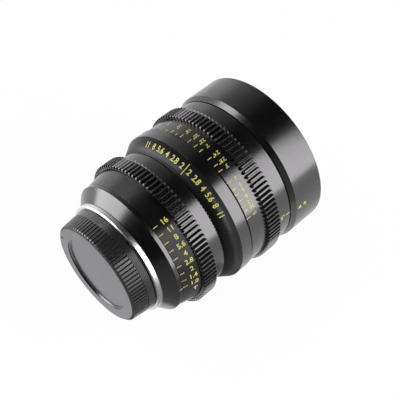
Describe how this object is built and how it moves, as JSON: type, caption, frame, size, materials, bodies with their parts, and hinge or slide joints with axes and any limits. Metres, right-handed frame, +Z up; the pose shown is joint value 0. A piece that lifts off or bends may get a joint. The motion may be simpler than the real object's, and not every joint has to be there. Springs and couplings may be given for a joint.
{
  "type": "cinema prime lens",
  "caption": "Cine lens with geared focus and aperture rings, iris, sliding glass group, bayonet mount and rear cap.",
  "frame": {"origin": "centre of the camera mount's flange face", "axes": "+Y along the optical axis towards the front glass, +Z up"},
  "size_m": [0.0848, 0.1098, 0.0848],
  "materials": {
    "chrome": "bright plated brass",
    "black_anodised": "satin black anodised aluminium",
    "inner_black": "matt black anodised aluminium",
    "screw_steel": "blackened steel",
    "follower_brass": "turned brass",
    "blade_steel": "blackened spring steel",
    "glass": "coated optical glass",
    "cap_plastic": "moulded ABS, fine matt grain"
  },
  "bodies": {
    "barrel": {"mount_ring": "chrome", "mount_screws": "screw_steel", "rear_baffle": "inner_black", "rear_housing": "black_anodised", "rear_screws": "screw_steel", "guide_tube": "inner_black", "barrel_screws": "screw_steel", "main_barrel": "black_anodised", "front_barrel": "black_anodised"},
    "aperture_ring": {"aperture_ring": "black_anodised", "aperture_key": "inner_black", "key_screws": "screw_steel"},
    "focus_ring": {"focus_ring": "black_anodised", "focus_screws": "screw_steel", "cam_sleeve": "inner_black"},
    "lens_group": {"group_barrel": "inner_black", "group_screws": "screw_steel", "guide_followers": "follower_brass", "cam_followers": "follower_brass", "follower_screws": "screw_steel", "front_ring": "inner_black", "element_1": "glass", "front_spacer": "inner_black", "element_2": "glass", "middle_retainer": "inner_black", "element_3": "glass", "doublet_retainer": "inner_black", "element_4": "glass", "element_5": "glass", "iris_housing": "inner_black", "iris_cover": "inner_black", "rear_cell": "inner_black", "element_6": "glass", "rear_spacer": "inner_black", "element_7": "glass", "rear_retainer": "inner_black"},
    "iris_cam_ring": {"iris_cam_ring": "inner_black"},
    "rear_cap": {"rear_cap": "cap_plastic"},
    "iris_blade_1": {"iris_blade_1": "blade_steel"},
    "iris_blade_2": {"iris_blade_2": "blade_steel"},
    "iris_blade_3": {"iris_blade_3": "blade_steel"},
    "iris_blade_4": {"iris_blade_4": "blade_steel"},
    "iris_blade_5": {"iris_blade_5": "blade_steel"},
    "iris_blade_6": {"iris_blade_6": "blade_steel"},
    "iris_blade_7": {"iris_blade_7": "blade_steel"},
    "iris_blade_8": {"iris_blade_8": "blade_steel"},
    "iris_blade_9": {"iris_blade_9": "blade_steel"}
  },
  "joints": [
    {"name": "aperture_turn", "type": "hinge", "parent": "barrel", "child": "aperture_ring", "pos_m": [0, 0.024, 0], "axis": [0, 1, 0], "range_deg": [0, 56]},
    {"name": "focus_turn", "type": "hinge", "parent": "barrel", "child": "focus_ring", "pos_m": [0, 0.063, 0], "axis": [0, -1, 0], "range_deg": [0, 111.5]},
    {"name": "group_slide", "type": "slide", "parent": "barrel", "child": "lens_group", "axis": [0, -1, 0], "range_m": [0, 0.005]},
    {"name": "iris_cam_turn", "type": "hinge", "parent": "lens_group", "child": "iris_cam_ring", "pos_m": [0, 0.0278, 0], "axis": [0, 1, 0], "range_deg": [0, 56]},
    {"name": "cap_pull", "type": "slide", "parent": "barrel", "child": "rear_cap", "axis": [0, -1, 0], "range_m": [0, 0.03]},
    {"name": "iris_blade_1_swing", "type": "hinge", "parent": "lens_group", "child": "iris_blade_1", "pos_m": [0, 0.0262, 0.0248], "axis": [0, 1, 0], "range_deg": [0, 32]},
    {"name": "iris_blade_2_swing", "type": "hinge", "parent": "lens_group", "child": "iris_blade_2", "pos_m": [0.01594, 0.0262, 0.019], "axis": [0, 1, 0], "range_deg": [0, 32]},
    {"name": "iris_blade_3_swing", "type": "hinge", "parent": "lens_group", "child": "iris_blade_3", "pos_m": [0.02442, 0.0262, 0.00431], "axis": [0, 1, 0], "range_deg": [0, 32]},
    {"name": "iris_blade_4_swing", "type": "hinge", "parent": "lens_group", "child": "iris_blade_4", "pos_m": [0.02148, 0.0262, -0.0124], "axis": [0, 1, 0], "range_deg": [0, 32]},
    {"name": "iris_blade_5_swing", "type": "hinge", "parent": "lens_group", "child": "iris_blade_5", "pos_m": [0.00848, 0.0262, -0.0233], "axis": [0, 1, 0], "range_deg": [0, 32]},
    {"name": "iris_blade_6_swing", "type": "hinge", "parent": "lens_group", "child": "iris_blade_6", "pos_m": [-0.00848, 0.0262, -0.0233], "axis": [0, 1, 0], "range_deg": [0, 32]},
    {"name": "iris_blade_7_swing", "type": "hinge", "parent": "lens_group", "child": "iris_blade_7", "pos_m": [-0.02148, 0.0262, -0.0124], "axis": [0, 1, 0], "range_deg": [0, 32]},
    {"name": "iris_blade_8_swing", "type": "hinge", "parent": "lens_group", "child": "iris_blade_8", "pos_m": [-0.02442, 0.0262, 0.00431], "axis": [0, 1, 0], "range_deg": [0, 32]},
    {"name": "iris_blade_9_swing", "type": "hinge", "parent": "lens_group", "child": "iris_blade_9", "pos_m": [-0.01594, 0.0262, 0.019], "axis": [0, 1, 0], "range_deg": [0, 32]}
  ],
  "couplings": [
    {"joint": "group_slide", "follows": "focus_turn", "m_per_rad": 0.0025693},
    {"joint": "iris_cam_turn", "follows": "aperture_turn", "ratio": 1},
    {"joint": "iris_blade_1_swing", "follows": "aperture_turn", "ratio": 0.57143},
    {"joint": "iris_blade_2_swing", "follows": "aperture_turn", "ratio": 0.57143},
    {"joint": "iris_blade_3_swing", "follows": "aperture_turn", "ratio": 0.57143},
    {"joint": "iris_blade_4_swing", "follows": "aperture_turn", "ratio": 0.57143},
    {"joint": "iris_blade_5_swing", "follows": "aperture_turn", "ratio": 0.57143},
    {"joint": "iris_blade_6_swing", "follows": "aperture_turn", "ratio": 0.57143},
    {"joint": "iris_blade_7_swing", "follows": "aperture_turn", "ratio": 0.57143},
    {"joint": "iris_blade_8_swing", "follows": "aperture_turn", "ratio": 0.57143},
    {"joint": "iris_blade_9_swing", "follows": "aperture_turn", "ratio": 0.57143}
  ]
}
